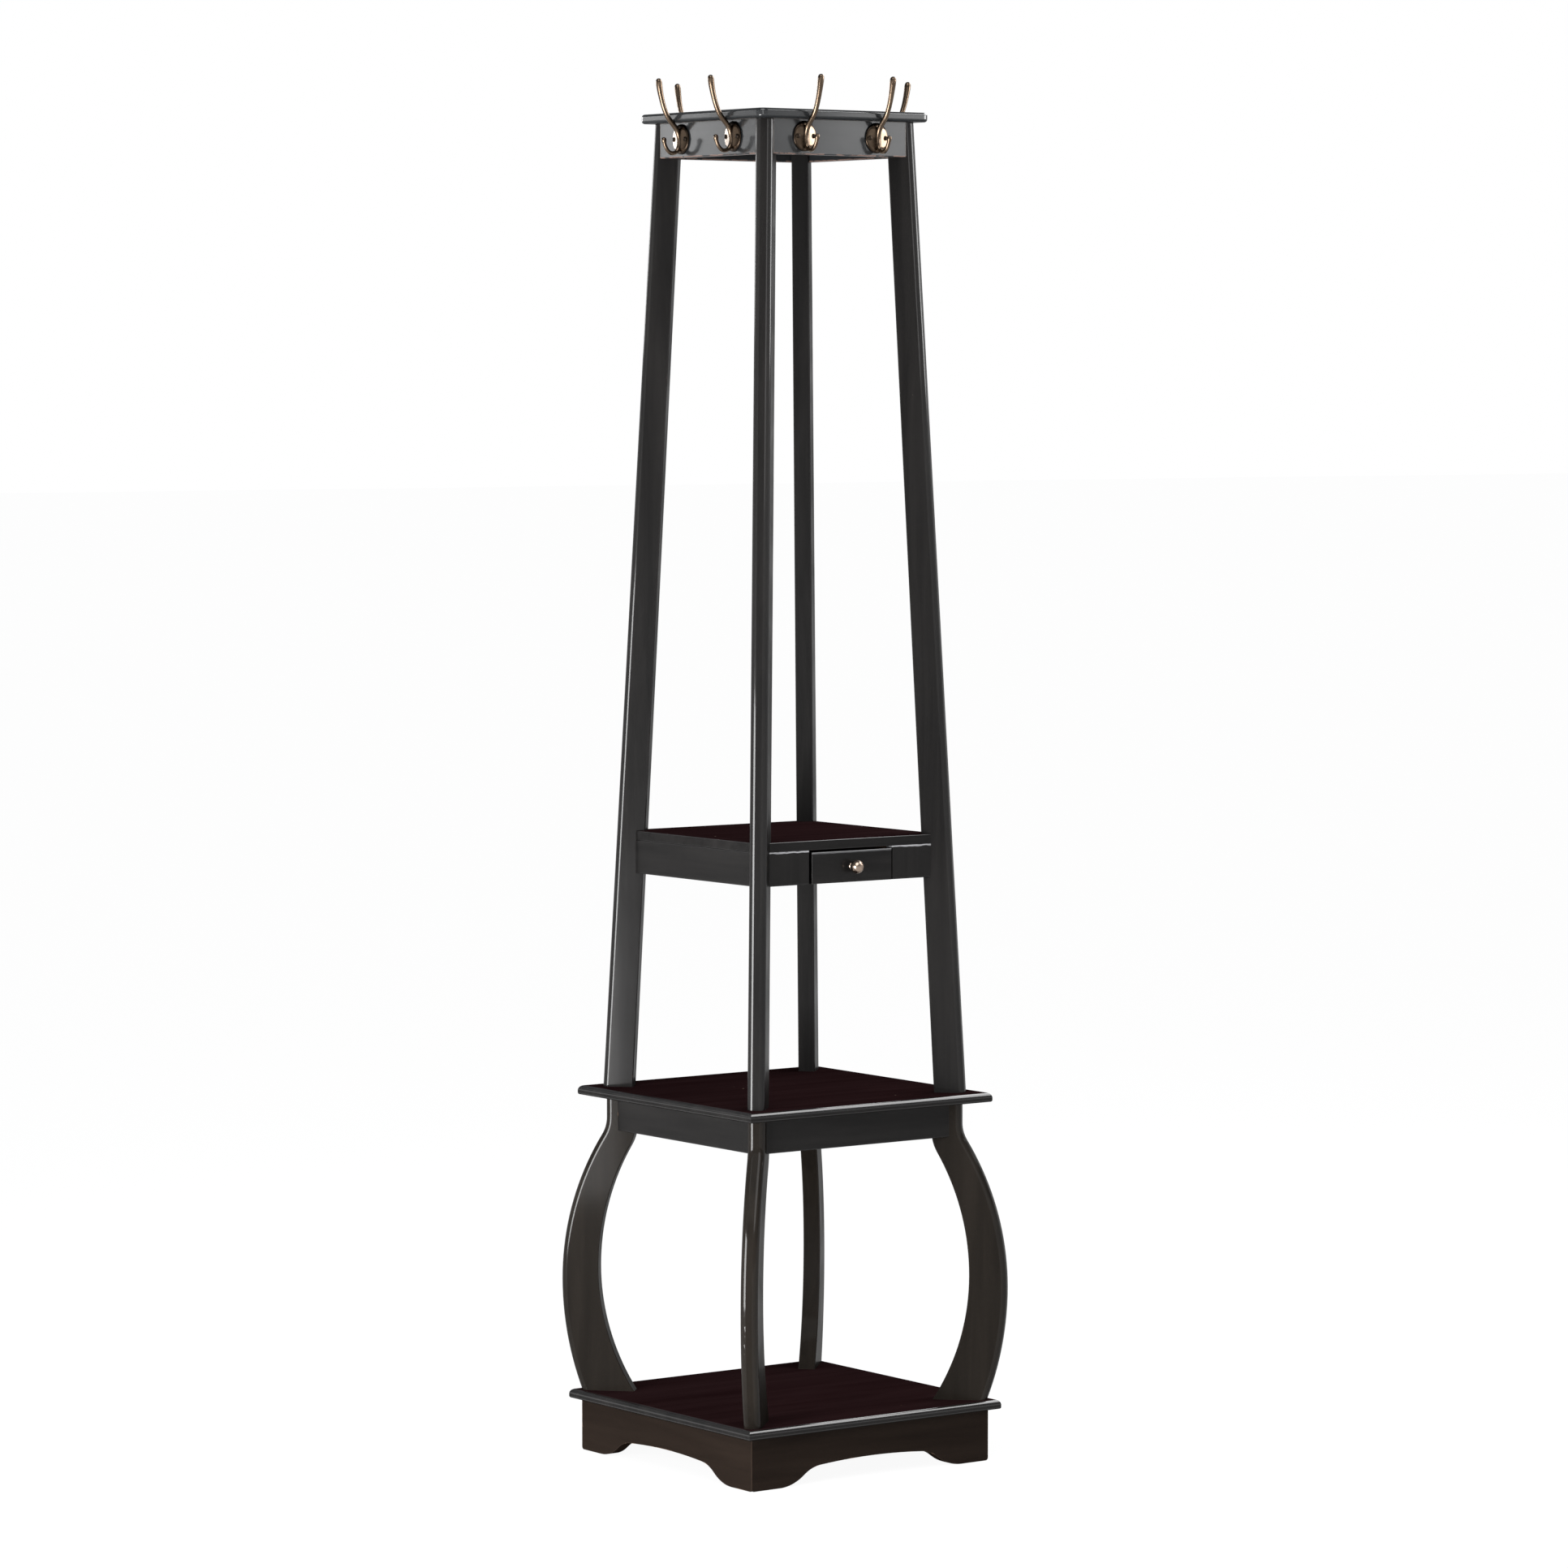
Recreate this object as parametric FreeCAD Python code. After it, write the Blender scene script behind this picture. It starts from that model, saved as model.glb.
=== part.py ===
import FreeCAD, Part
import math
import os

# Free-standing hall tree: a square plinth, four bowed legs, a lower shelf, four leaning
# posts, a middle shelf box with one drawer, and a square cap with six coat hooks.
# Millimetres, +Z up. The origin is on the floor under the centre, and the drawer faces -Y.
# Legs and posts stand on the diagonals. Their "reach" is measured out from the centre line.

Vec = FreeCAD.Vector
root_two = math.sqrt(2.0)

# Levels: the top face of each board above the floor
base_level = 82.0
lower_level = 493.0
middle_level = 837.0
cap_level = 1787.0

# Boards
board = 12.5                # thickness of all four boards
base_side = 414.0
lower_side = 396.0
middle_side = 297.0
cap_side = 276.0
nose_top = 7.0              # moulded edge of the base board and lower shelf, upper round
nose_bottom = 2.5           # the same edge, lower round
cap_corner = 11.0           # plan corners of the cap board
cap_nose = 4.0              # edge rounds of the cap board
arris = 0.9                 # eased edges that make the fine groove under the middle board

# Aprons
plinth_side = 389.0
plinth_thickness = 16.0
lower_apron_side = 332.0
lower_apron_height = 46.5
cap_apron_side = 248.0
cap_apron_height = 46.0
middle_apron_height = 44.5
apron_thickness = 14.0
apron_round = 1.5           # lower outer edge of the upper aprons

# Scalloped lower edge of the plinth
foot_length = 45.0
foot_corner = 4.0
arch_height = 27.6
ogee_slope = 36.0           # degrees, straight middle of the S
ogee_low_radius = 65.0
ogee_high_radius = 50.0
crown_slope = 5.0           # degrees, where the S meets the long crown

# Posts
post_thickness = 23.0       # legs and posts share it
post_foot_reach = 244.0
post_foot_width = 41.0
post_top_reach = 171.5
post_top_width = 34.0
outer_round = 7.5           # long outer edges of legs and posts
inner_arris = 1.2           # long inner edges, planed off

# Bowed legs: outer and inner edges, each two belly arcs and a reversed arc at the neck
leg_outer = {"foot": 273.5, "belly": 300.6, "belly_rise": 150.0,
             "neck": 239.5, "neck_radius": 45.0, "neck_length": 29.0}
leg_inner = {"foot": 202.0, "belly": 250.4, "belly_rise": 167.0,
             "neck": 199.5, "neck_radius": 60.0, "neck_length": 38.0}

# Corner blocks behind the legs and posts
base_block_height = 32.0
base_block_depth = 52.0     # along the diagonal, from the inner corner of the aprons
block_height = 30.0
lower_block_depth = 38.0
middle_block_depth = 31.0
cap_block_depth = 42.0

# Fasteners: shank diameter, head diameter, head height
bolt_size = (6.0, 11.0, 4.5)
screw_size = (4.0, 8.0, 2.4)
hook_screw_size = (3.4, 6.6, 1.6)
hole_gap = 0.15             # radial room round every fastener
bolt_grip = 15.0            # corner bolt in the post
leg_bolt_grip = 24.0        # base bolt in the leg
leg_bolt_reaches = (226.0, 242.0)
stud_diameter = 8.0
stud_grip = 30.0            # stud in the leg below and in the post above
stud_reach = 221.0
block_screw_spread = 14.0   # each side of the diagonal
block_screw_inset = 8.0     # from the long face of the block
block_screw_grip = 8.0

# Drawer
opening_width = 137.0
drawer_gap_left = 4.8       # drawer front to the stile or board beside it
drawer_gap_right = 1.6
drawer_gap_top = 3.0
drawer_front_thickness = 14.0
drawer_front_round = 1.2
drawer_wall = 10.0
drawer_front_overhang = 1.0 # front past the outer face of each drawer side
drawer_side_gap = 0.8       # drawer side to runner
drawer_rest_gap = 0.3       # drawer side above the runner ledge
drawer_head_gap = 3.6       # drawer side below the middle board
drawer_back_gap = 6.0       # drawer back to the rear apron
drawer_bottom_thickness = 4.0
drawer_bottom_rise = 5.0    # underside of the bottom above the underside of the sides
groove_depth = 5.0
groove_gap = 0.1
runner_thickness = 12.0
runner_ledge = 9.0          # width under the drawer side
runner_ledge_height = 4.0
stop_gap = 0.4              # closed drawer front to the runner ends
notch_gap = 0.3             # middle board round each post

# Drawer knob
knob_radius = 9.2
knob_reach = 10.6           # centre of the ball from the drawer front
knob_neck_radius = 3.6
knob_flange_radius = 5.5
knob_flange = 1.6
knob_screw_grip = 8.0

# Coat hooks: places along each side, left to right for someone facing that side, then
# (out from the apron, up from the plate centre, radius) along each prong
hook_places = {"front": (-58.5, 58.5), "left": (-58.5, 58.5), "right": (-58.5,), "back": (58.5,)}
hook_drop = 22.1            # plate centre below the underside of the cap board
hook_plate_radius = 20.0
hook_plate_rim = 2.0
hook_plate_dome = 5.0
hook_screw_offset = 12.5
hook_screw_length = 13.0
upper_prong = [(4.4, -15.0, 3.0), (4.8, 0.0, 3.6), (7.2, 9.5, 3.8), (13.4, 17.5, 3.8),
               (20.6, 25.0, 3.6), (26.0, 34.5, 3.5), (31.0, 47.0, 3.5), (34.8, 60.0, 4.0),
               (36.5, 67.0, 4.3), (37.1, 73.0, 4.2)]
lower_prong = [(3.6, 2.0, 3.0), (4.2, -7.0, 3.1), (8.0, -15.0, 3.0), (14.6, -19.0, 2.9),
               (21.4, -17.0, 2.7), (26.2, -10.5, 2.6), (28.2, -3.5, 2.6)]
upper_tip = (37.2, 74.0, 4.9)
lower_tip = (28.6, -1.5, 3.5)

# Worked-out places
base_under = base_level - board
lower_under = lower_level - board
middle_under = middle_level - board
cap_under = cap_level - board
lean = (post_foot_reach - post_top_reach) / (cap_under - lower_level)
taper = (post_foot_width - post_top_width) / (cap_under - lower_level)
drawer_floor = middle_under - middle_apron_height
hook_level = cap_under - hook_drop

sides = {"front": 0.0, "right": 90.0, "back": 180.0, "left": 270.0}
corners = {"back_right": 45.0, "back_left": 135.0, "front_left": 225.0, "front_right": 315.0}
parts = {}


def point(x, z):
    return Vec(x, 0, z)


def line(x0, z0, x1, z1):
    return Part.LineSegment(point(x0, z0), point(x1, z1)).toShape()


def arc(cx, cz, radius, start, end):
    # Arc in the XZ plane about (cx, cz); angles in degrees from +X towards +Z
    angles = [math.radians(a) for a in (start, (start + end) / 2.0, end)]
    places = [point(cx + radius * math.cos(a), cz + radius * math.sin(a)) for a in angles]
    return Part.Arc(*places).toShape()


def flat_solid(edges, depth, start):
    # The closed outline in the XZ plane, extruded along +Y from y = start
    face = Part.Face(Part.Wire(Part.__sortEdges__(edges)))
    solid = face.extrude(Vec(0, depth, 0))
    solid.translate(Vec(0, start, 0))
    return solid


def plan_solid(corner_points, low, high):
    # A polygon in plan, extruded from low to high
    places = [Vec(x, y, low) for x, y in corner_points]
    wire = Part.makePolygon(places + places[:1])
    return Part.Face(wire).extrude(Vec(0, 0, high - low))


def turned(shape, angle):
    copy = shape.copy()
    copy.rotate(Vec(0, 0, 0), Vec(0, 0, 1), angle)
    return copy


def rounded(solid, radius, wanted):
    return solid.makeFillet(radius, [e for e in solid.Edges if wanted(e)])


def chamfered(solid, size, wanted):
    return solid.makeChamfer(size, [e for e in solid.Edges if wanted(e)])


def middle_of(edge):
    return edge.valueAt((edge.FirstParameter + edge.LastParameter) / 2.0)


def fastener(size, length):
    # Head below z = 0, shank from 0 up to length
    shank, head, height = size
    body = Part.makeCylinder(shank / 2.0, length)
    cap = Part.makeCylinder(head / 2.0, height, Vec(0, 0, -height))
    return body.fuse(cap).removeSplitter()


def hole(diameter, length):
    return Part.makeCylinder(diameter / 2.0 + hole_gap, length + hole_gap)


def aimed(shape, place, direction):
    copy = shape.copy()
    copy.Placement = FreeCAD.Placement(place, FreeCAD.Rotation(Vec(0, 0, 1), direction))
    return copy


def on_diagonal(reach, z, across=0.0):
    # A place on the +X axis frame that is later turned to a corner
    return Vec(reach, across, z)


def moulded_board(side, top):
    # Two crossed prisms with the same moulded section meet in mitred corners
    half = side / 2.0
    low = top - board
    edges = [
        line(-half + nose_top, top, half - nose_top, top),
        arc(half - nose_top, top - nose_top, nose_top, 90, 0),
        line(half, top - nose_top, half, low + nose_bottom),
        arc(half - nose_bottom, low + nose_bottom, nose_bottom, 0, -90),
        line(half - nose_bottom, low, -half + nose_bottom, low),
        arc(-half + nose_bottom, low + nose_bottom, nose_bottom, -90, -180),
        line(-half, low + nose_bottom, -half, top - nose_top),
        arc(-half + nose_top, top - nose_top, nose_top, 180, 90),
    ]
    along = flat_solid(edges, side, -half)
    return along.common(turned(along, 90.0)).removeSplitter()


def apron_plan(side, offset):
    # Plan of the front quarter: offset 0 gives mitres, otherwise the ends stop on the posts
    half = side / 2.0
    reach = half - offset
    return [(-reach, -half), (reach, -half), (0.0, -offset)]


def plain_apron(side, low, high):
    # Ends are cut at 45 degrees to lie flat on the broad faces of the posts
    offset = post_thickness / root_two
    half = side / 2.0
    slab = Part.makeBox(side, apron_thickness, high - low, Vec(-half, -half, low))
    apron = slab.common(plan_solid(apron_plan(side, offset), low, high))
    return rounded(apron, apron_round, lambda e: is_face_edge(e, -half, low))


def is_face_edge(edge, y, z):
    middle = middle_of(edge)
    return abs(middle.y - y) < 0.01 and abs(middle.z - z) < 0.01


def scalloped_apron():
    half = plinth_side / 2.0
    steep = math.radians(ogee_slope)
    slight = math.radians(crown_slope)
    flat_end = half - foot_length
    low_x = flat_end - ogee_low_radius * math.sin(steep)
    low_z = ogee_low_radius * (1.0 - math.cos(steep))
    run = ogee_high_radius * (math.sin(steep) - math.sin(slight))
    rise = ogee_high_radius * (math.cos(slight) - math.cos(steep))
    crown = math.tan(slight / 2.0)
    straight = arch_height - low_z - rise - (low_x - run) * crown
    straight /= math.sin(steep) - math.cos(steep) * crown
    high_x = low_x - straight * math.cos(steep)
    high_z = low_z + straight * math.sin(steep)
    crown_x = high_x - run
    crown_radius = crown_x / math.sin(slight)
    edges = [
        line(-half, base_under, half, base_under),
        arc(0.0, arch_height - crown_radius, crown_radius, 90 - crown_slope, 90 + crown_slope),
    ]
    for sign in (1.0, -1.0):
        high_cx = high_x - ogee_high_radius * math.sin(steep)
        high_cz = high_z - ogee_high_radius * math.cos(steep)
        half_edges = [
            line(half, base_under, half, foot_corner),
            arc(half - foot_corner, foot_corner, foot_corner, 0, -90),
            line(half - foot_corner, 0.0, flat_end, 0.0),
            arc(flat_end, ogee_low_radius, ogee_low_radius, -90, -90 - ogee_slope),
            line(low_x, low_z, high_x, high_z),
            arc(high_cx, high_cz, ogee_high_radius, 90 - ogee_slope, 90 - crown_slope),
        ]
        if sign < 0:
            half_edges = [e.mirror(Vec(0, 0, 0), Vec(1, 0, 0)) for e in half_edges]
        edges += half_edges
    slab = flat_solid(edges, plinth_thickness, -half)
    return slab.common(plan_solid(apron_plan(plinth_side, 0.0), 0.0, base_under))


def post_outline():
    top_inner = post_top_reach - post_top_width
    foot_inner = post_foot_reach - post_foot_width
    return [
        line(foot_inner, lower_level, post_foot_reach, lower_level),
        line(post_foot_reach, lower_level, post_top_reach, cap_under),
        line(post_top_reach, cap_under, top_inner, cap_under),
        line(top_inner, cap_under, foot_inner, lower_level),
    ]


def post():
    return eased(flat_solid(post_outline(), post_thickness, -post_thickness / 2.0), post_centre)


def post_centre(z):
    rise = z - lower_level
    return post_foot_reach - lean * rise - (post_foot_width - taper * rise) / 2.0


def post_inner(z):
    rise = z - lower_level
    return post_foot_reach - lean * rise - (post_foot_width - taper * rise)


def eased(blank, centre):
    # Long outer edges get the large round and long inner edges a small chamfer
    half = post_thickness / 2.0

    def long_edge(edge, outer):
        middle = middle_of(edge)
        tall = edge.BoundBox.ZLength > 2.0 * outer_round
        on_face = abs(abs(middle.y) - half) < 0.01
        return tall and on_face and (middle.x > centre(middle.z)) == outer

    solid = rounded(blank, outer_round, lambda e: long_edge(e, True))
    return chamfered(solid, inner_arris, lambda e: long_edge(e, False))


def leg_edge(curve):
    # Foot arc up to the belly, long arc above it, reversed arc into the upright neck
    belly_z = base_level + curve["belly_rise"]
    foot_drop = curve["belly"] - curve["foot"]
    foot_radius = (curve["belly_rise"] ** 2 + foot_drop ** 2) / (2.0 * foot_drop)
    foot_angle = math.degrees(math.asin(curve["belly_rise"] / foot_radius))
    neck_z = lower_under - curve["neck_length"]
    rise = neck_z - belly_z
    drop = curve["belly"] - curve["neck"]
    radii = (rise ** 2 + drop ** 2) / (2.0 * drop)
    angle = math.degrees(math.asin(rise / radii))
    long_radius = radii - curve["neck_radius"]
    neck_cx = curve["neck"] + curve["neck_radius"]
    return [
        arc(curve["belly"] - foot_radius, belly_z, foot_radius, -foot_angle, 0),
        arc(curve["belly"] - long_radius, belly_z, long_radius, 0, angle),
        arc(neck_cx, neck_z, curve["neck_radius"], 180 + angle, 180),
        line(curve["neck"], neck_z, curve["neck"], lower_under),
    ]


def leg_outline():
    return leg_edge(leg_outer) + leg_edge(leg_inner) + [
        line(leg_inner["foot"], base_level, leg_outer["foot"], base_level),
        line(leg_inner["neck"], lower_under, leg_outer["neck"], lower_under),
    ]


def leg_centre(z):
    foot = (leg_outer["foot"] + leg_inner["foot"]) / 2.0
    belly = (leg_outer["belly"] + leg_inner["belly"]) / 2.0
    neck = (leg_outer["neck"] + leg_inner["neck"]) / 2.0
    share = (z - base_level) / (lower_under - base_level)
    swell = math.sin(math.pi * share) * (belly - (foot + neck) / 2.0)
    return foot + (neck - foot) * share + swell


def leg():
    return eased(flat_solid(leg_outline(), post_thickness, -post_thickness / 2.0), leg_centre)


def corner_block(inner_half, depth, low, high, outline=None):
    # Fills the inner corner of two aprons, back to the leg or post with the given outline
    corner_reach = inner_half * root_two
    face_reach = corner_reach - depth
    plan = [(face_reach, -depth), (corner_reach, 0.0), (face_reach, depth)]
    block = plan_solid(plan, low, high)
    if outline is not None:
        half = post_thickness / 2.0
        tail_end = corner_reach + post_thickness
        tail = [(face_reach, -half), (tail_end, -half), (tail_end, half), (face_reach, half)]
        behind = flat_solid(outline, 4.0 * depth, -2.0 * depth)
        block = block.fuse(plan_solid(tail, low, high)).cut(behind).removeSplitter()
        block = max(block.Solids, key=lambda s: s.Volume)
    return block


def drilled(shape, holes):
    for cutter in holes:
        shape = shape.cut(cutter)
    return shape


def tapered_bar(stations):
    # Round bar in the YZ plane, out towards -Y, through (out, up, radius) stations
    sections = []
    for i, (out, up, radius) in enumerate(stations):
        before = stations[max(i - 1, 0)]
        after = stations[min(i + 1, len(stations) - 1)]
        run = -(after[0] - before[0])
        rise = after[1] - before[1]
        tilt = -math.degrees(math.atan2(run, rise))
        ring = Part.Wire(Part.Circle(Vec(0, 0, 0), Vec(0, 0, 1), radius).toShape())
        ring.rotate(Vec(0, 0, 0), Vec(1, 0, 0), tilt)
        ring.translate(Vec(0, -out, up))
        sections.append(ring)
    return Part.makeLoft(sections, True, False)


def hook_plate():
    # Domed disc: flat back on y = 0, rim and crown towards -Y
    crown = hook_plate_rim + hook_plate_dome
    edges = [
        Part.LineSegment(Vec(0, 0, 0), Vec(hook_plate_radius, 0, 0)).toShape(),
        Part.LineSegment(Vec(hook_plate_radius, 0, 0),
                         Vec(hook_plate_radius, -hook_plate_rim, 0)).toShape(),
        Part.Arc(Vec(hook_plate_radius, -hook_plate_rim, 0),
                 Vec(hook_plate_radius * 0.55, -hook_plate_rim - hook_plate_dome * 0.72, 0),
                 Vec(0, -crown, 0)).toShape(),
        Part.LineSegment(Vec(0, -crown, 0), Vec(0, 0, 0)).toShape(),
    ]
    face = Part.Face(Part.Wire(Part.__sortEdges__(edges)))
    return face.revolve(Vec(0, 0, 0), Vec(0, 1, 0), 360)


def hook_screw_seat():
    # How far out from the apron the screw head bears on the domed plate
    return hook_plate_rim + hook_plate_dome * 0.35


def coat_hook():
    solid = hook_plate()
    solid = solid.fuse(tapered_bar(upper_prong)).fuse(tapered_bar(lower_prong))
    for out, up, radius in (upper_tip, lower_tip):
        solid = solid.fuse(Part.makeSphere(radius, Vec(0, -out, up)))
    for place in hook_screw_places():
        shank = hook_screw_size[0] / 2.0 + hole_gap
        head = hook_screw_size[1] / 2.0 + hole_gap
        seat = Vec(place, -hook_screw_seat(), 0)
        behind = Vec(place, 1, 0)
        solid = solid.cut(Part.makeCylinder(shank, hook_screw_length, behind, Vec(0, -1, 0)))
        solid = solid.cut(Part.makeCylinder(head, hook_screw_length, seat, Vec(0, -1, 0)))
    return solid


def hook_screw_places():
    return (-hook_screw_offset, hook_screw_offset)


def hook_screw():
    # Head bears on the plate, shank runs along +Y into the apron
    screw = fastener(hook_screw_size, hook_screw_length)
    return aimed(screw, Vec(0, -hook_screw_seat(), 0), Vec(0, 1, 0))


# Legs, posts and the studs that join them through the lower shelf
stud_length = board + 2.0 * stud_grip
stud_low = lower_under - stud_grip
stud = Part.makeCylinder(stud_diameter / 2.0, stud_length, on_diagonal(stud_reach, stud_low))
stud_hole = Part.makeCylinder(stud_diameter / 2.0 + hole_gap, stud_length + 2.0 * hole_gap,
                              on_diagonal(stud_reach, stud_low - hole_gap))

base_inner = plinth_side / 2.0 - plinth_thickness
lower_inner = lower_apron_side / 2.0 - apron_thickness
middle_inner = middle_side / 2.0 - apron_thickness
cap_inner = cap_apron_side / 2.0 - apron_thickness

base_block_low = base_under - base_block_height
leg_bolt_length = base_level - base_block_low + leg_bolt_grip
leg_bolt = fastener(bolt_size, leg_bolt_length)
leg_bolt_hole = hole(bolt_size[0], leg_bolt_length)
leg_bolts = [aimed(leg_bolt, on_diagonal(reach, base_block_low), Vec(0, 0, 1))
             for reach in leg_bolt_reaches]
leg_bolt_holes = [aimed(leg_bolt_hole, on_diagonal(reach, base_block_low), Vec(0, 0, 1))
                  for reach in leg_bolt_reaches]

plain_leg = leg()
plain_post = post()

# One corner frame per level: inner half of the aprons, block depth, board underside,
# the outline of what stands in the corner, and its inner reach at the bolt
corner_frames = {
    "lower": (lower_inner, lower_block_depth, lower_under, leg_outline(), leg_inner["neck"]),
    "middle": (middle_inner, middle_block_depth, middle_under, post_outline(),
               post_inner(middle_under - block_height / 2.0)),
    "cap": (cap_inner, cap_block_depth, cap_under, post_outline(),
            post_inner(cap_under - block_height / 2.0)),
}
frame_blocks = {}
corner_bolt_list = []
block_screw_list = []
post_holes = [stud_hole]
leg_holes = [stud_hole] + leg_bolt_holes
screw_holes = {}
for level, (inner_half, depth, under, outline, inner_reach) in corner_frames.items():
    low = under - block_height
    face_reach = inner_half * root_two - depth
    block = corner_block(inner_half, depth, low, under, outline)
    bolt_z = under - block_height / 2.0
    bolt_length = inner_reach - face_reach + bolt_grip
    bolt_place = on_diagonal(face_reach, bolt_z)
    bolt_hole = aimed(hole(bolt_size[0], bolt_length), bolt_place, Vec(1, 0, 0))
    corner_bolt_list.append(aimed(fastener(bolt_size, bolt_length), bolt_place, Vec(1, 0, 0)))
    (leg_holes if level == "lower" else post_holes).append(bolt_hole)
    screw_length = block_height + block_screw_grip
    places = [on_diagonal(face_reach + block_screw_inset, low, spread)
              for spread in (-block_screw_spread, block_screw_spread)]
    block_screw_list += [aimed(fastener(screw_size, screw_length), p, Vec(0, 0, 1))
                         for p in places]
    screw_holes[level] = [aimed(hole(screw_size[0], screw_length), p, Vec(0, 0, 1))
                          for p in places]
    frame_blocks[level] = drilled(block, [bolt_hole] + screw_holes[level])

finished_leg = drilled(plain_leg, leg_holes)
finished_post = drilled(plain_post, post_holes)
base_block = drilled(corner_block(base_inner, base_block_depth, base_block_low, base_under),
                     leg_bolt_holes)


def all_corners(shapes):
    return [turned(s, angle) for angle in corners.values() for s in shapes]


for name, angle in corners.items():
    parts["lower_leg_" + name] = turned(finished_leg, angle)
    parts["upper_post_" + name] = turned(finished_post, angle)
parts["base_corner_blocks"] = Part.makeCompound(all_corners([base_block]))
for level, block in frame_blocks.items():
    parts[level + "_corner_blocks"] = Part.makeCompound(all_corners([block]))
parts["leg_bolts"] = Part.makeCompound(all_corners(leg_bolts))
parts["post_studs"] = Part.makeCompound(all_corners([stud]))
parts["corner_bolts"] = Part.makeCompound(all_corners(corner_bolt_list))
parts["block_screws"] = Part.makeCompound(all_corners(block_screw_list))

# Plinth
plinth_apron = scalloped_apron()
for name, angle in sides.items():
    parts["base_apron_" + name] = turned(plinth_apron, angle)
parts["base_board"] = drilled(moulded_board(base_side, base_level), all_corners(leg_bolt_holes))

# Lower shelf
lower_apron = plain_apron(lower_apron_side, lower_under - lower_apron_height, lower_under)
for name, angle in sides.items():
    parts["lower_apron_" + name] = turned(lower_apron, angle)
parts["lower_shelf_board"] = drilled(moulded_board(lower_side, lower_level),
                                     all_corners([stud_hole] + screw_holes["lower"]))

# Middle shelf box: three aprons, two stiles beside the drawer, and a notched board
middle_half = middle_side / 2.0
middle_apron = plain_apron(middle_side, drawer_floor, middle_under)
middle_apron = rounded(middle_apron, arris, lambda e: is_face_edge(e, -middle_half, middle_under))
for name in ("right", "back", "left"):
    parts["middle_apron_" + name] = turned(middle_apron, sides[name])
stile_room = Part.makeBox(middle_side, middle_side, middle_side,
                          Vec(opening_width / 2.0, -middle_side, drawer_floor - 1.0))
right_stile = middle_apron.common(stile_room)
parts["drawer_stile_right"] = right_stile
parts["drawer_stile_left"] = right_stile.mirror(Vec(0, 0, 0), Vec(1, 0, 0))

middle_board = Part.makeBox(middle_side, middle_side, board,
                            Vec(-middle_half, -middle_half, middle_under))
middle_board = rounded(middle_board, arris, lambda e: e.BoundBox.ZLength < arris)
notch_start = post_inner(middle_level) - notch_gap
notch = Part.makeBox(middle_side, post_thickness + 2.0 * notch_gap, 3.0 * board,
                     Vec(notch_start, -post_thickness / 2.0 - notch_gap, middle_under - board))
parts["middle_shelf_board"] = drilled(middle_board,
                                      all_corners([notch] + screw_holes["middle"]))

# Drawer runners: an upright beside the drawer and a ledge under it
body_half = (opening_width / 2.0 - max(drawer_gap_left, drawer_gap_right)
             - drawer_front_overhang)
web_start = body_half + drawer_side_gap
ledge_start = web_start - runner_ledge
runner_front = -middle_half + apron_thickness
runner_length = middle_inner - runner_front
web = Part.makeBox(runner_thickness, runner_length, middle_under - drawer_floor,
                   Vec(web_start, runner_front, drawer_floor))
ledge = Part.makeBox(runner_ledge, runner_length, runner_ledge_height,
                     Vec(ledge_start, runner_front, drawer_floor))
runner = web.fuse(ledge).removeSplitter()
parts["drawer_runner_right"] = runner
parts["drawer_runner_left"] = runner.mirror(Vec(0, 0, 0), Vec(1, 0, 0))

# Drawer
front_start = drawer_gap_left - opening_width / 2.0
front_end = opening_width / 2.0 - drawer_gap_right
front_middle = (front_start + front_end) / 2.0
front_top = middle_under - drawer_gap_top
front_back_y = runner_front - stop_gap
front_face_y = front_back_y - drawer_front_thickness
front_box = Part.makeBox(front_end - front_start, drawer_front_thickness,
                         front_top - drawer_floor, Vec(front_start, front_face_y, drawer_floor))
front_box = rounded(front_box, drawer_front_round,
                    lambda e: abs(middle_of(e).y - front_face_y) < 0.01)
side_low = drawer_floor + runner_ledge_height + drawer_rest_gap
side_top = middle_under - drawer_head_gap
box_back_y = middle_inner - drawer_back_gap
side_length = box_back_y - front_back_y
drawer_side = Part.makeBox(drawer_wall, side_length, side_top - side_low,
                           Vec(body_half - drawer_wall, front_back_y, side_low))
bottom_low = side_low + drawer_bottom_rise
bottom_half = body_half - drawer_wall + groove_depth
bottom_front_y = front_back_y - groove_depth
bottom_length = box_back_y - bottom_front_y
groove = Part.makeBox(2.0 * bottom_half, bottom_length,
                      drawer_bottom_thickness + 2.0 * groove_gap,
                      Vec(-bottom_half, bottom_front_y, bottom_low - groove_gap))
panel = Part.makeBox(2.0 * (bottom_half - groove_gap), bottom_length - groove_gap,
                     drawer_bottom_thickness,
                     Vec(-bottom_half + groove_gap, bottom_front_y + groove_gap, bottom_low))
back_low = bottom_low + drawer_bottom_thickness
back_board = Part.makeBox(2.0 * (body_half - drawer_wall), drawer_wall, side_top - back_low,
                          Vec(-body_half + drawer_wall, box_back_y - drawer_wall, back_low))

knob_z = (drawer_floor + front_top) / 2.0
knob_screw_length = drawer_front_thickness + knob_screw_grip
knob_screw_place = Vec(front_middle, front_back_y, knob_z)
knob_screw_hole = aimed(hole(screw_size[0], knob_screw_length), knob_screw_place, Vec(0, -1, 0))
parts["drawer_front"] = front_box.cut(groove).cut(knob_screw_hole)
right_side = drawer_side.cut(groove)
parts["drawer_side_right"] = right_side
parts["drawer_side_left"] = right_side.mirror(Vec(0, 0, 0), Vec(1, 0, 0))
parts["drawer_back"] = back_board
parts["drawer_bottom"] = panel
parts["drawer_knob_screw"] = aimed(fastener(screw_size, knob_screw_length), knob_screw_place,
                                   Vec(0, -1, 0))


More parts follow.
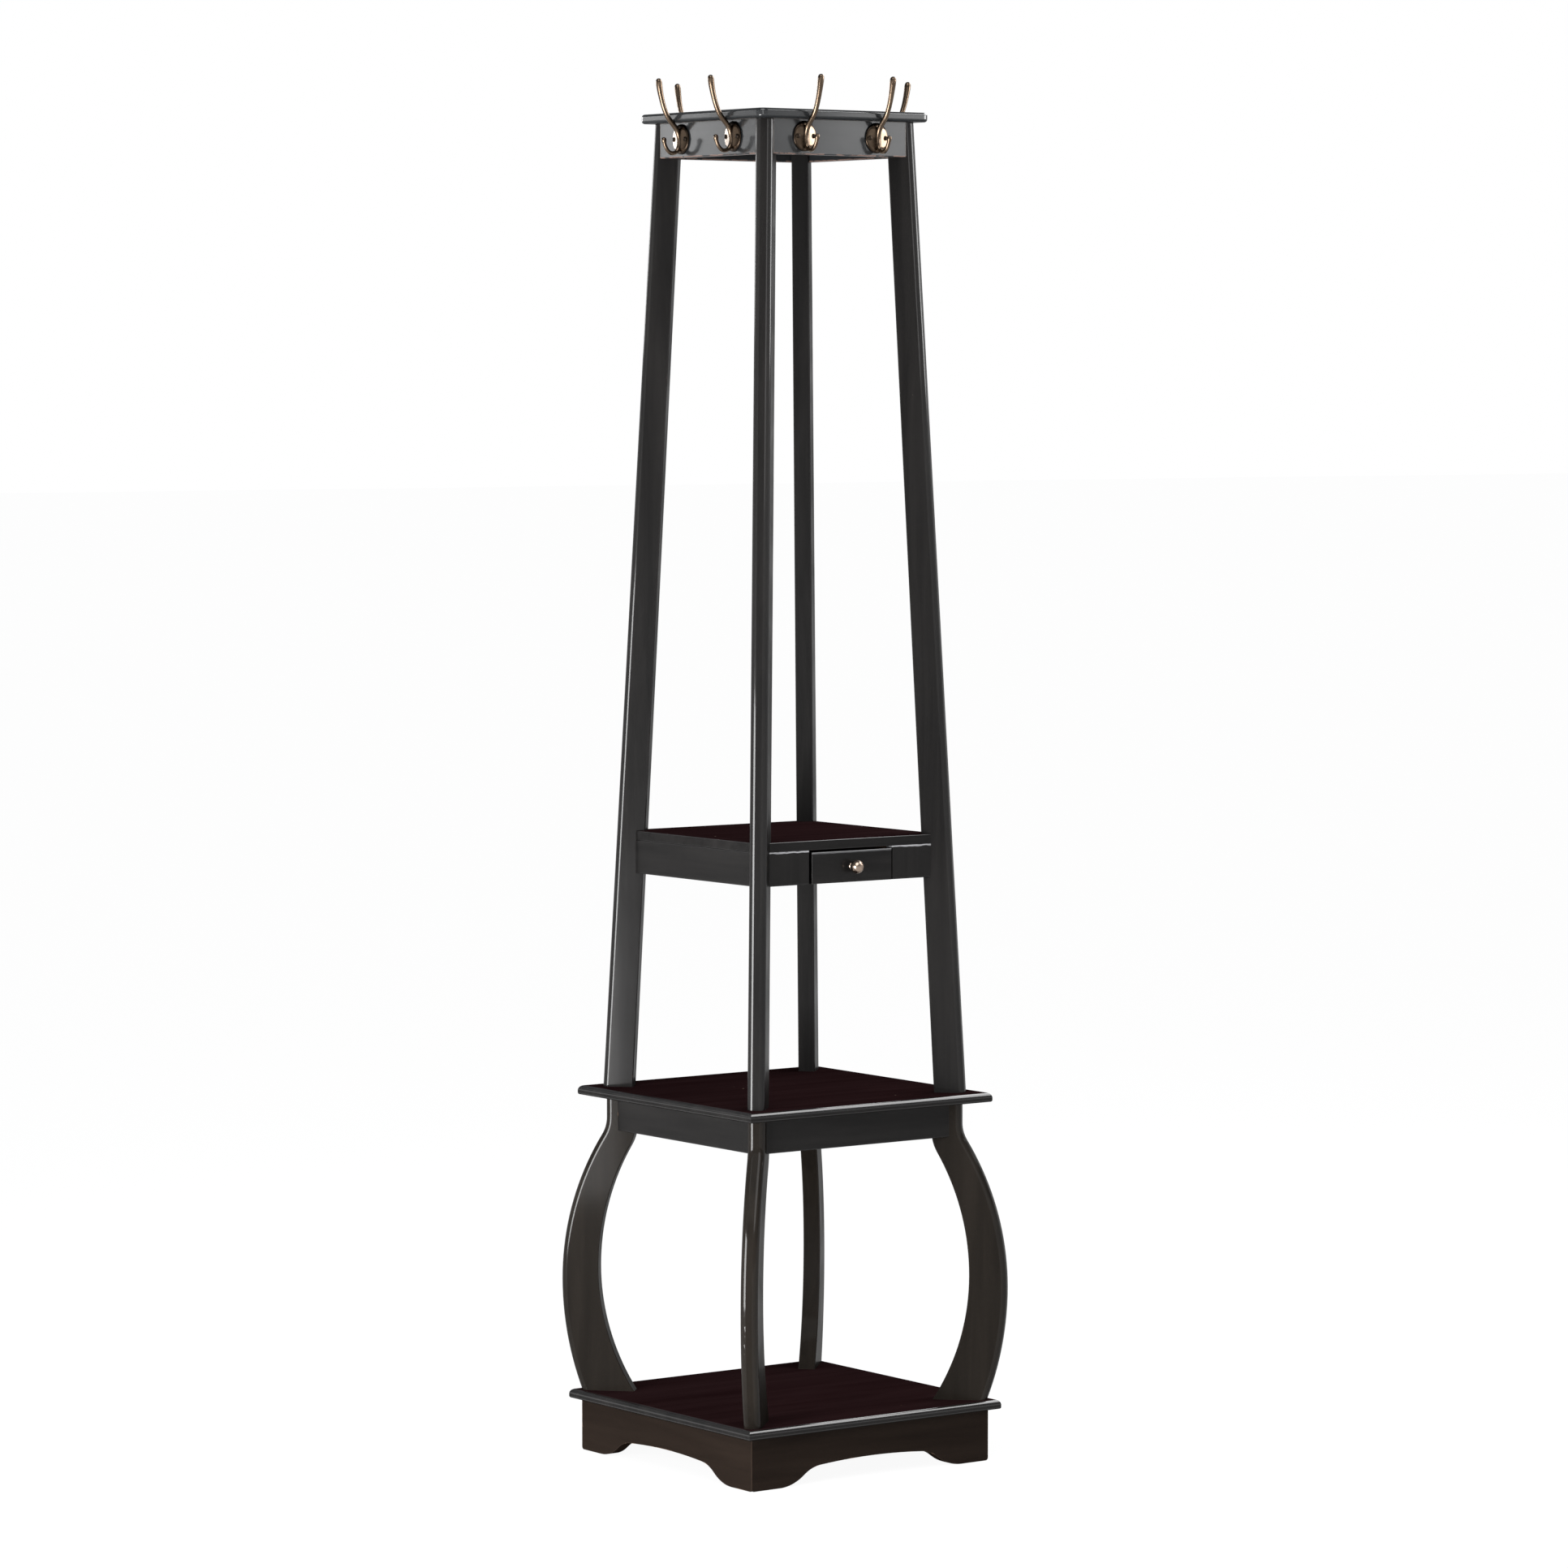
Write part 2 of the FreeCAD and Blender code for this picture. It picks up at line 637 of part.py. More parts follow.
def drawer_knob():
    ball = Part.makeSphere(knob_radius, Vec(0, -knob_reach, 0))
    neck = Part.makeCylinder(knob_neck_radius, knob_reach, Vec(0, 0, 0), Vec(0, -1, 0))
    flange = Part.makeCone(knob_flange_radius, knob_neck_radius, 2.0 * knob_flange,
                           Vec(0, 0, 0), Vec(0, -1, 0))
    knob = ball.fuse(neck).fuse(flange).removeSplitter()
    knob.translate(Vec(front_middle, front_face_y, knob_z))
    return knob.cut(knob_screw_hole)


parts["drawer_knob"] = drawer_knob()

# Cap with its aprons and the hooks on their faces
cap_half = cap_side / 2.0
cap_board = Part.makeBox(cap_side, cap_side, board, Vec(-cap_half, -cap_half, cap_under))
cap_board = rounded(cap_board, cap_corner, lambda e: e.BoundBox.ZLength > board / 2.0)
cap_board = rounded(cap_board, cap_nose, lambda e: e.BoundBox.ZLength < board / 2.0)
parts["cap_board"] = drilled(cap_board, all_corners(screw_holes["cap"]))

apron_face = Vec(0, -cap_apron_side / 2.0, hook_level)
hook = coat_hook()
screw = hook_screw()
pilot = hole(hook_screw_size[0], hook_screw_length - hook_screw_seat())
hook_screws = []
for name, angle in sides.items():
    cap_apron = plain_apron(cap_apron_side, cap_under - cap_apron_height, cap_under)
    for letter, along in zip("ab", hook_places[name]):
        plate_centre = apron_face + Vec(along, 0, 0)
        fixed_hook = hook.copy()
        fixed_hook.translate(plate_centre)
        for place in hook_screw_places():
            spot = plate_centre + Vec(place, 0, 0)
            cap_apron = cap_apron.cut(aimed(pilot, spot, Vec(0, 1, 0)))
            fixed_screw = screw.copy()
            fixed_screw.translate(spot)
            hook_screws.append(turned(fixed_screw, angle))
        ending = "_" + letter if len(hook_places[name]) > 1 else ""
        parts["coat_hook_" + name + ending] = turned(fixed_hook, angle)
    parts["cap_apron_" + name] = turned(cap_apron, angle)
parts["hook_screws"] = Part.makeCompound(hook_screws)

os.makedirs("parts", exist_ok=True)
for name in sorted(parts):
    shape = parts[name]
    volume = sum(s.Volume for s in shape.Solids)
    print(name, "solids", len(shape.Solids), "valid", shape.isValid(), "cm3", round(volume / 1000, 1))
    shape.exportStep("parts/" + name + ".step")
print(len(parts), "nodes")
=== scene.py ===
import bpy
import math
from mathutils import Matrix, Vector


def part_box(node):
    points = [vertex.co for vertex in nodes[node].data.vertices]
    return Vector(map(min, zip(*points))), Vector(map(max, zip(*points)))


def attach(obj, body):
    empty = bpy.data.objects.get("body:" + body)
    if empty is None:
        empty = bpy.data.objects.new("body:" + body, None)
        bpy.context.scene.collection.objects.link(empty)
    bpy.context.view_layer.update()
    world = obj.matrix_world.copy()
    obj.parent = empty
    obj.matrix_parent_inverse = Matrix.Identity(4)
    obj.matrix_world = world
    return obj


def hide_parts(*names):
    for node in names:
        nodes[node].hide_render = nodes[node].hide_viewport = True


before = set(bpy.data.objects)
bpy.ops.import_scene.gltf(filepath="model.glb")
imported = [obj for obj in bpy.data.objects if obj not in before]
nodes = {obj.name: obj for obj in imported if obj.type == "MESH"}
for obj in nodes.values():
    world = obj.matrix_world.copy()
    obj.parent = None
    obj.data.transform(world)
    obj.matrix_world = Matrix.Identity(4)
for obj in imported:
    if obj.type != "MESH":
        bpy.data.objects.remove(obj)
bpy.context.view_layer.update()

print("frame loaded:", len(nodes), "nodes")


# small helpers for working in edit mode

smoothing = {
    "levels": 1,
    "turned": 40.0, "drawn": 60.0,      # angle from which an edge stays sharp, in degrees
    "leastChange": 1e-6,                # a smaller change of size or turn is left out
}
quarterTurn = Matrix.Rotation(math.radians(90), 4, "X")     # lays an upright piece on its side


def deselectAll():
    if bpy.context.mode != "OBJECT":
        bpy.ops.object.mode_set(mode="OBJECT")
    bpy.ops.object.select_all(action="DESELECT")


def makeActive(piece):
    deselectAll()
    piece.select_set(True)
    bpy.context.view_layer.objects.active = piece


def ringStart(name, radius, sides, place, tilt=0.0):
    # a filled ring, left selected in edit mode, ready to be drawn out
    deselectAll()
    bpy.ops.mesh.primitive_circle_add(vertices=sides, radius=radius, fill_type="NGON",
                                      location=place, rotation=(tilt, 0, 0))
    piece = bpy.context.object
    piece.name = name
    bpy.ops.object.transform_apply(location=True, rotation=True, scale=True)
    bpy.ops.object.mode_set(mode="EDIT")
    bpy.ops.mesh.select_all(action="SELECT")
    return piece


def ringNext(move, scale, middle, turn=0.0):
    # draws the selected ring out by move, then sizes and turns it about its new middle
    bpy.ops.mesh.extrude_region_move(TRANSFORM_OT_translate={"value": move})
    if abs(scale - 1.0) > smoothing["leastChange"]:
        bpy.ops.transform.resize(value=(scale, scale, scale), center_override=middle)
    if abs(turn) > smoothing["leastChange"]:
        bpy.ops.transform.rotate(value=turn, orient_axis="X", center_override=middle)


def ringClose(piece, sharpFrom):
    # turns the drawn faces outwards and softens the piece
    bpy.ops.mesh.select_all(action="SELECT")
    bpy.ops.mesh.normals_make_consistent(inside=False)
    makeActive(piece)
    soften = piece.modifiers.new("soften", "SUBSURF")
    soften.levels = soften.render_levels = smoothing["levels"]
    bpy.ops.object.modifier_apply(modifier=soften.name)
    bpy.ops.object.shade_smooth_by_angle(angle=math.radians(sharpFrom))


def turnedPiece(name, profile, sides):
    # profile is (radius, height) from the bottom up, turned about Z
    radius, height = profile[0]
    piece = ringStart(name, radius, sides, (0, 0, height))
    for newRadius, newHeight in profile[1:]:
        ringNext((0, 0, newHeight - height), newRadius / radius, (0, 0, newHeight))
        radius, height = newRadius, newHeight
    ringClose(piece, smoothing["turned"])
    return piece


def joined(pieces, name):
    deselectAll()
    for piece in pieces:
        piece.select_set(True)
    bpy.context.view_layer.objects.active = pieces[0]
    bpy.ops.object.join()
    whole = bpy.context.object
    whole.name = name
    return whole


def placedCopy(source, name, matrix):
    # a copy with its own mesh, its place in the mesh and its object at the origin
    copy = source.copy()
    copy.data = source.data.copy()
    copy.name = name
    bpy.context.scene.collection.objects.link(copy)
    copy.data.transform(matrix)
    return copy


# shader groups that several finishes share

def newGroup(name, inputs, outputs):
    group = bpy.data.node_groups.new(name, "ShaderNodeTree")
    for label, value in inputs.items():
        kind = "NodeSocketVector" if isinstance(value, tuple) else "NodeSocketFloat"
        socket = group.interface.new_socket(label, in_out="INPUT", socket_type=kind)
        socket.default_value = value
    for label in outputs:
        group.interface.new_socket(label, in_out="OUTPUT", socket_type="NodeSocketFloat")
    start = group.nodes.new("NodeGroupInput")
    end = group.nodes.new("NodeGroupOutput")
    return group, start.outputs, end.inputs


def addNode(tree, kind, links=None, **settings):
    # links gives each input another node's output or a plain value
    node = tree.nodes.new(kind)
    for key, value in settings.items():
        setattr(node, key, value)
    for key, value in (links or {}).items():
        socket = node.inputs[key]
        if isinstance(value, bpy.types.NodeSocket):
            tree.links.new(value, socket)
        else:
            socket.default_value = value
    return node


def mathNode(tree, operation, a, b=0.0):
    return addNode(tree, "ShaderNodeMath", {0: a, 1: b}, operation=operation).outputs[0]


def weighted(tree, first, firstShare, second, secondShare):
    return mathNode(tree, "ADD", mathNode(tree, "MULTIPLY", first, firstShare),
                    mathNode(tree, "MULTIPLY", second, secondShare))


def remap(tree, value, fromLow, fromHigh, toLow=0.0, toHigh=1.0):
    node = addNode(tree, "ShaderNodeMapRange", {"Value": value, "From Min": fromLow,
                   "From Max": fromHigh, "To Min": toLow, "To Max": toHigh})
    return node.outputs["Result"]


def noise(tree, vector, scale, detail=3.0, rough=0.5, distortion=0.0):
    node = addNode(tree, "ShaderNodeTexNoise", {"Vector": vector, "Scale": scale,
                   "Detail": detail, "Roughness": rough, "Distortion": distortion})
    return node.outputs["Fac"]


def mixColour(tree, mask, first, second):
    return addNode(tree, "ShaderNodeMix", {0: mask, 6: first, 7: second},
                   data_type="RGBA").outputs[2]


def objectPlace(tree):
    return addNode(tree, "ShaderNodeTexCoord").outputs["Object"]


grainLook = {
    "broadShare": 0.23,                             # scale of the broad bands against the streaks
    "streakInTone": 0.6, "broadInTone": 0.4, "toneSpan": (0.32, 0.68),
    "poresInRelief": 0.6, "streakInRelief": 0.4, "poreSpan": (0.35, 0.6),
}


def buildWoodGrain():
    # long soft streaks and fine pores, along the axis that Stretch squeezes
    group, given, wanted = newGroup(
        "woodGrain", {"Stretch": (1.0, 1.0, 0.06), "Streak Size": 55.0, "Pore Size": 420.0},
        ["Tone", "Height"])
    along = addNode(group, "ShaderNodeVectorMath", {0: objectPlace(group), 1: given["Stretch"]},
                    operation="MULTIPLY").outputs[0]
    streak = noise(group, along, given["Streak Size"], detail=4.0, rough=0.55, distortion=0.6)
    broadScale = mathNode(group, "MULTIPLY", given["Streak Size"], grainLook["broadShare"])
    broad = noise(group, along, broadScale, detail=2.0)
    tone = weighted(group, streak, grainLook["streakInTone"], broad, grainLook["broadInTone"])
    pores = noise(group, along, given["Pore Size"], detail=2.0, rough=0.6)
    group.links.new(remap(group, tone, *grainLook["toneSpan"]), wanted["Tone"])
    height = weighted(group, remap(group, pores, *grainLook["poreSpan"]),
                      grainLook["poresInRelief"], streak, grainLook["streakInRelief"])
    group.links.new(height, wanted["Height"])
    return group


wearLook = {
    "samples": 4, "edgeSpan": (0.015, 0.16),        # how far the normals part at an edge
    "limit": 0.82, "limitDrop": 0.5, "fade": 0.06,  # how much of an edge is rubbed through
}


def buildEdgeWear():
    # Edge marks every sharp edge, Wear only the places where the finish has rubbed through
    group, given, wanted = newGroup(
        "edgeWear", {"Width": 0.0012, "Amount": 0.5, "Patch Size": 38.0}, ["Edge", "Wear"])
    flat = addNode(group, "ShaderNodeNewGeometry").outputs["Normal"]
    soft = addNode(group, "ShaderNodeBevel", {"Radius": given["Width"]},
                   samples=wearLook["samples"]).outputs[0]
    agree = addNode(group, "ShaderNodeVectorMath", {0: flat, 1: soft},
                    operation="DOT_PRODUCT").outputs["Value"]
    edge = remap(group, mathNode(group, "SUBTRACT", 1.0, agree), *wearLook["edgeSpan"])
    patches = noise(group, objectPlace(group), given["Patch Size"], detail=5.0, rough=0.62)
    limit = mathNode(group, "SUBTRACT", wearLook["limit"],
                     mathNode(group, "MULTIPLY", given["Amount"], wearLook["limitDrop"]))
    rubbed = remap(group, mathNode(group, "SUBTRACT", patches, limit), 0.0, wearLook["fade"])
    group.links.new(edge, wanted["Edge"])
    group.links.new(mathNode(group, "MULTIPLY", edge, rubbed), wanted["Wear"])
    return group


handlingLook = {
    "cloudSpan": (0.3, 0.7), "rippleScale": 190.0,
    "dentSize": 0.045, "dentPick": (0.86, 0.88),    # the share of cells left without a dent
}


def buildHandling():
    # broad cloudy polish marks, a fine brushed-out ripple and a few tiny dents
    group, given, wanted = newGroup(
        "handling", {"Cloud Size": 9.0, "Dent Spacing": 26.0}, ["Cloud", "Ripple", "Dent"])
    place = objectPlace(group)
    cloud = noise(group, place, given["Cloud Size"], detail=5.0, rough=0.55, distortion=0.8)
    ripple = noise(group, place, handlingLook["rippleScale"], detail=2.0)
    cells = addNode(group, "ShaderNodeTexVoronoi",
                    {"Vector": place, "Scale": given["Dent Spacing"]})
    spot = remap(group, cells.outputs["Distance"], 0.0, handlingLook["dentSize"], 1.0, 0.0)
    pick = addNode(group, "ShaderNodeSeparateColor", {0: cells.outputs["Color"]}).outputs[0]
    few = remap(group, pick, *handlingLook["dentPick"])
    group.links.new(remap(group, cloud, *handlingLook["cloudSpan"]), wanted["Cloud"])
    group.links.new(ripple, wanted["Ripple"])
    group.links.new(mathNode(group, "MULTIPLY", spot, few), wanted["Dent"])
    return group


roundsLook = {"roundSpan": (0.03, 0.14), "topSpan": (0.90, 0.99), "underSpan": (-0.15, -0.55)}


def buildRounds():
    # Round is 1 where the wood turns from one flat to the next, Top is 1 on level tops and
    # Under is 1 where it turns downwards; Diagonal is 1 on pieces that stand across the
    # corners and 0 on boards
    group, given, wanted = newGroup("rounds", {"Diagonal": 0.0}, ["Round", "Top", "Under"])
    facing = addNode(group, "ShaderNodeNewGeometry").outputs["Normal"]
    parts = addNode(group, "ShaderNodeSeparateXYZ", {0: facing}).outputs
    x, y, z = [mathNode(group, "ABSOLUTE", parts[i]) for i in range(3)]
    across = mathNode(group, "ABSOLUTE", mathNode(group, "SUBTRACT", x, y))
    flat = mathNode(group, "SQRT", mathNode(group, "ADD", mathNode(group, "MULTIPLY", x, x),
                                            mathNode(group, "MULTIPLY", y, y)))
    level = mathNode(group, "MINIMUM", z, flat)
    both = addNode(group, "ShaderNodeMix", {0: given["Diagonal"], 2: level, 3: across}).outputs[0]
    group.links.new(remap(group, both, *roundsLook["roundSpan"]), wanted["Round"])
    group.links.new(remap(group, parts[2], *roundsLook["topSpan"]), wanted["Top"])
    group.links.new(remap(group, parts[2], *roundsLook["underSpan"]), wanted["Under"])
    return group


lineLook = {
    "swayScale": 75.0, "swayGain": 5.0,             # how the line wanders up and down
    "core": 0.4,                                    # share of the half width at full strength
    "breakScale": 62.0, "breakFade": 0.06,
}


def buildRubbedAndHighlightLine():
    # a thin level line that wanders a little and breaks up, at Height on the upright faces: a
    # rubbed line on the cap apron and a painted highlight along the tops of the stiles and drawer
    # front
    group, given, wanted = newGroup(
        "rubbedLine", {"Height": 0.0, "Half Width": 0.0012, "Wander": 0.0006, "Breaks": 0.3},
        ["Line"])
    place = objectPlace(group)
    level = addNode(group, "ShaderNodeSeparateXYZ", {0: place}).outputs["Z"]
    drift = mathNode(group, "SUBTRACT", noise(group, place, lineLook["swayScale"], detail=1.0),
                     0.5)
    reach = mathNode(group, "MULTIPLY", given["Wander"], lineLook["swayGain"])
    sway = mathNode(group, "MULTIPLY", drift, reach)
    away = mathNode(group, "SUBTRACT", mathNode(group, "SUBTRACT", level, given["Height"]), sway)
    away = mathNode(group, "ABSOLUTE", away)
    inner = mathNode(group, "MULTIPLY", given["Half Width"], lineLook["core"])
    line = remap(group, away, given["Half Width"], inner)
    broken = noise(group, place, lineLook["breakScale"], rough=0.6)
    kept = remap(group, mathNode(group, "SUBTRACT", broken, given["Breaks"]), 0.0,
                 lineLook["breakFade"])
    group.links.new(mathNode(group, "MULTIPLY", line, kept), wanted["Line"])
    return group


woodGrain = buildWoodGrain()
edgeWear = buildEdgeWear()
handling = buildHandling()
rounds = buildRounds()
rubbedLine = buildRubbedAndHighlightLine()
print("shared shader groups built")


# finishes

def placeGroup(tree, group, values):
    node = tree.nodes.new("ShaderNodeGroup")
    node.node_tree = group
    for label, value in values.items():
        node.inputs[label].default_value = value
    return node.outputs


def newFinish(name):
    finish = bpy.data.materials.new(name)
    finish.use_nodes = True
    tree = finish.node_tree
    shader = tree.nodes["Principled BSDF"]
    return finish, tree, shader


grainAxis = {"x": (0.07, 1.0, 1.0), "y": (1.0, 0.07, 1.0), "z": (1.0, 1.0, 0.07)}

lacquer = {
    "deep": (0.0042, 0.0040, 0.0040, 1), "open": (0.0105, 0.0098, 0.0095, 1),
    "worn": (0.150, 0.098, 0.066, 1), "chip": (0.34, 0.26, 0.20, 1),
    "topDeep": (0.0078, 0.0031, 0.0034, 1), "topOpen": (0.0138, 0.0066, 0.0070, 1),
    "top": 0.0, "diagonal": 0.0, "sheen": (0.30, 0.46), "wear": 0.30,
    "edgeWidth": 0.0011, "edgeLift": 0.30, "specular": 0.035, "coat": (0.14, 0.8),
    "coatRoughness": 0.08, "bump": 0.10, "darkEnds": 0.0,
    "polishFade": None,         # heights between which the polish on the flats gives out
    # a line on the face, rubbed wear on the cap apron and a painted highlight on the stiles and
    # drawer front: height, half width, wander, breaks and how strong
    "line": (0.0, 0.001, 0.0, 0.0), "lineStrength": 0.0, "lineColour": (0.24, 0.24, 0.25, 1),
}
postLacquer = dict(lacquer, diagonal=1.0, specular=0.02, coat=(0.08, 0.36),
                   polishFade=(0.64, 0.84))
legLacquer = dict(lacquer, diagonal=1.0, deep=(0.0055, 0.0046, 0.0038, 1),
                  open=(0.0105, 0.0086, 0.0070, 1), specular=0.01, coat=(0.04, 0.30))
boardLacquer = dict(lacquer, top=1.0, specular=0.0, coat=(0.20, 1.0), wear=0.38, edgeLift=0.3)
plinthLacquer = dict(lacquer, deep=(0.0060, 0.0040, 0.0030, 1), open=(0.0120, 0.0082, 0.0062, 1),
                     sheen=(0.34, 0.50), wear=0.55, specular=0.0, coat=(0.06, 0.3),
                     edgeWidth=0.0018, edgeLift=0.95, coatRoughness=0.14)
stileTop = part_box("drawer_stile_left")[1][2]
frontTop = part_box("drawer_front")[1][2]
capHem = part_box("cap_apron_front")[0][2]
capLacquer = dict(lacquer, deep=(0.0070, 0.0078, 0.0086, 1), open=(0.0140, 0.0150, 0.0160, 1),
                  worn=(0.150, 0.132, 0.118, 1), wear=0.95, specular=0.05, coat=(0.80, 0.9),
                  coatRoughness=0.14, line=(capHem + 0.0009, 0.0010, 0.0004, 0.44),
                  lineStrength=0.7, lineColour=(0.16, 0.10, 0.08, 1))
capBoardLacquer = dict(capLacquer, lineStrength=0.0, wear=0.45, coat=(0.62, 1.0),
                       coatRoughness=0.10)
# the stiles' line is a painted highlight along their top edge
stileLacquer = dict(lacquer, edgeLift=0.15, wear=0.1, lineStrength=0.9,
                    line=(stileTop - 0.0010, 0.0014, 0.0007, 0.22))
# the drawer front's end faces and top are painted near-black as painted shade in the gaps round it,
# and its line is a painted highlight along its top edge
frontLacquer = dict(lacquer, darkEnds=1.0, edgeLift=0.1, wear=0.1, lineStrength=0.22,
                    line=(frontTop - 0.0013, 0.0017, 0.0002, 0.0))
stained = dict(lacquer, deep=(0.030, 0.019, 0.013, 1), open=(0.075, 0.048, 0.033, 1),
               sheen=(0.55, 0.72), wear=0.2, coat=(0.0, 0.0), bump=0.3)

# what every wood finish shares
woodSurface = {
    "edgeGain": 2.2,            # painted highlight on every sharp edge, against the colour of the open grain
    "chipShare": 0.8, "endColour": (0.0008, 0.0007, 0.0007, 1), "endSpan": (0.92, 0.97),
    "wearRough": 0.22, "topRough": 0.24, "coatIor": 1.5,
    "grainRelief": 0.7, "rippleRelief": 0.3, "dentRelief": 1.5, "reliefDepth": 0.0006,
}


def woodFinish(name, values, axis):
    finish, tree, shader = newFinish(name)
    grain = placeGroup(tree, woodGrain, {"Stretch": grainAxis[axis]})
    worn = placeGroup(tree, edgeWear, {"Width": values["edgeWidth"], "Amount": values["wear"]})
    hands = placeGroup(tree, handling, {})
    shape = placeGroup(tree, rounds, {"Diagonal": values["diagonal"]})
    wear = worn["Wear"]
    top = mathNode(tree, "MULTIPLY", shape["Top"], values["top"])
    colour = mixColour(tree, grain["Tone"], values["deep"], values["open"])
    topColour = mixColour(tree, grain["Tone"], values["topDeep"], values["topOpen"])
    colour = mixColour(tree, top, colour, topColour)
    # painted highlight: every sharp edge is lightened towards a brighter copy of the open grain,
    # standing for the light the edges catch
    edgeHighlightColour = [woodSurface["edgeGain"] * c for c in values["open"][:3]] + [1]
    colour = mixColour(tree, mathNode(tree, "MULTIPLY", worn["Edge"], values["edgeLift"]), colour,
                       edgeHighlightColour)
    colour = mixColour(tree, wear, colour, values["worn"])
    chipped = mathNode(tree, "MULTIPLY", hands["Dent"], woodSurface["chipShare"])
    colour = mixColour(tree, chipped, colour, values["chip"])
    # the line is rubbed wear on the cap apron and a painted highlight along the tops of the stiles
    # and drawer front
    if values["lineStrength"]:
        height, half, wander, breaks = values["line"]
        line = placeGroup(tree, rubbedLine, {"Height": height, "Half Width": half,
                                             "Wander": wander, "Breaks": breaks})["Line"]
        colour = mixColour(tree, mathNode(tree, "MULTIPLY", line, values["lineStrength"]), colour,
                           values["lineColour"])
    # painted shade: the end faces and top of the drawer front go near-black, standing for the shade
    # in the gaps round the drawer
    ends = 0.0
    if values["darkEnds"]:
        facing = addNode(tree, "ShaderNodeNewGeometry").outputs["True Normal"]
        parts = addNode(tree, "ShaderNodeSeparateXYZ", {0: facing}).outputs
        away = mathNode(tree, "MAXIMUM", mathNode(tree, "ABSOLUTE", parts["X"]), parts["Z"])
        ends = remap(tree, away, *woodSurface["endSpan"], 0.0, values["darkEnds"])
        colour = mixColour(tree, ends, colour, woodSurface["endColour"])
    tree.links.new(colour, shader.inputs["Base Color"])
    low, high = values["sheen"]
    rough = remap(tree, hands["Cloud"], 0.0, 1.0, low, high)
    for mask, added in ((wear, woodSurface["wearRough"]), (top, woodSurface["topRough"])):
        rough = mathNode(tree, "ADD", rough, mathNode(tree, "MULTIPLY", mask, added))
    tree.links.new(rough, shader.inputs["Roughness"])
    onFlat, onRound = values["coat"]
    if values["polishFade"]:
        level = addNode(tree, "ShaderNodeSeparateXYZ", {0: objectPlace(tree)}).outputs["Z"]
        onFlat = remap(tree, level, *values["polishFade"], onFlat, 0.0)
    coat = remap(tree, shape["Round"], 0.0, 1.0, onFlat, onRound)
    dull = mathNode(tree, "MAXIMUM", mathNode(tree, "MAXIMUM", wear, top), shape["Under"])
    dull = mathNode(tree, "MAXIMUM", dull, ends)
    coat = mathNode(tree, "MULTIPLY", coat, mathNode(tree, "SUBTRACT", 1.0, dull))
    tree.links.new(coat, shader.inputs["Coat Weight"])
    shader.inputs["Coat Roughness"].default_value = values["coatRoughness"]
    shader.inputs["Coat IOR"].default_value = woodSurface["coatIor"]
    shader.inputs["Specular IOR Level"].default_value = values["specular"]
    height = weighted(tree, grain["Height"], woodSurface["grainRelief"],
                      hands["Ripple"], woodSurface["rippleRelief"])
    sunk = mathNode(tree, "MULTIPLY", hands["Dent"], woodSurface["dentRelief"])
    height = mathNode(tree, "SUBTRACT", height, sunk)
    relief = addNode(tree, "ShaderNodeBump", {"Strength": values["bump"], "Height": height,
                                              "Distance": woodSurface["reliefDepth"]})
    tree.links.new(relief.outputs[0], shader.inputs["Normal"])
    return finish


bronze = {
    "bright": (0.118, 0.086, 0.060, 1), "dull": (0.078, 0.055, 0.038, 1),
    "dark": (0.016, 0.011, 0.008, 1), "sheen": (0.20, 0.27), "patina": 0.08, "bump": 0.01,
    "rubbed": 0.05,
}
darkBronze = dict(bronze, bright=(0.03, 0.022, 0.016, 1), dull=(0.015, 0.011, 0.008, 1),
                  sheen=(0.38, 0.55))
knobBronze = dict(bronze, bright=(0.40, 0.315, 0.255, 1), dull=(0.25, 0.19, 0.150, 1),
                  sheen=(0.20, 0.30), patina=0.25, rubbed=0.2)
steel = dict(bronze, bright=(0.56, 0.56, 0.55, 1), dull=(0.36, 0.35, 0.34, 1),
             dark=(0.12, 0.10, 0.08, 1), sheen=(0.28, 0.46), patina=0.3,
             bump=0.08, rubbed=0.6)

# what every metal finish shares
metalSurface = {
    "wear": {"Width": 0.0008, "Amount": 0.9, "Patch Size": 90.0},
    "hands": {"Cloud Size": 60.0, "Dent Spacing": 160.0},
    "mottleScale": 130.0, "mottleSpan": (0.3, 0.7), "tarnishSpan": (0.48, 0.66),
    "tarnishRough": 0.15, "rubbedGain": 1.5, "reliefDepth": 0.0002,
}


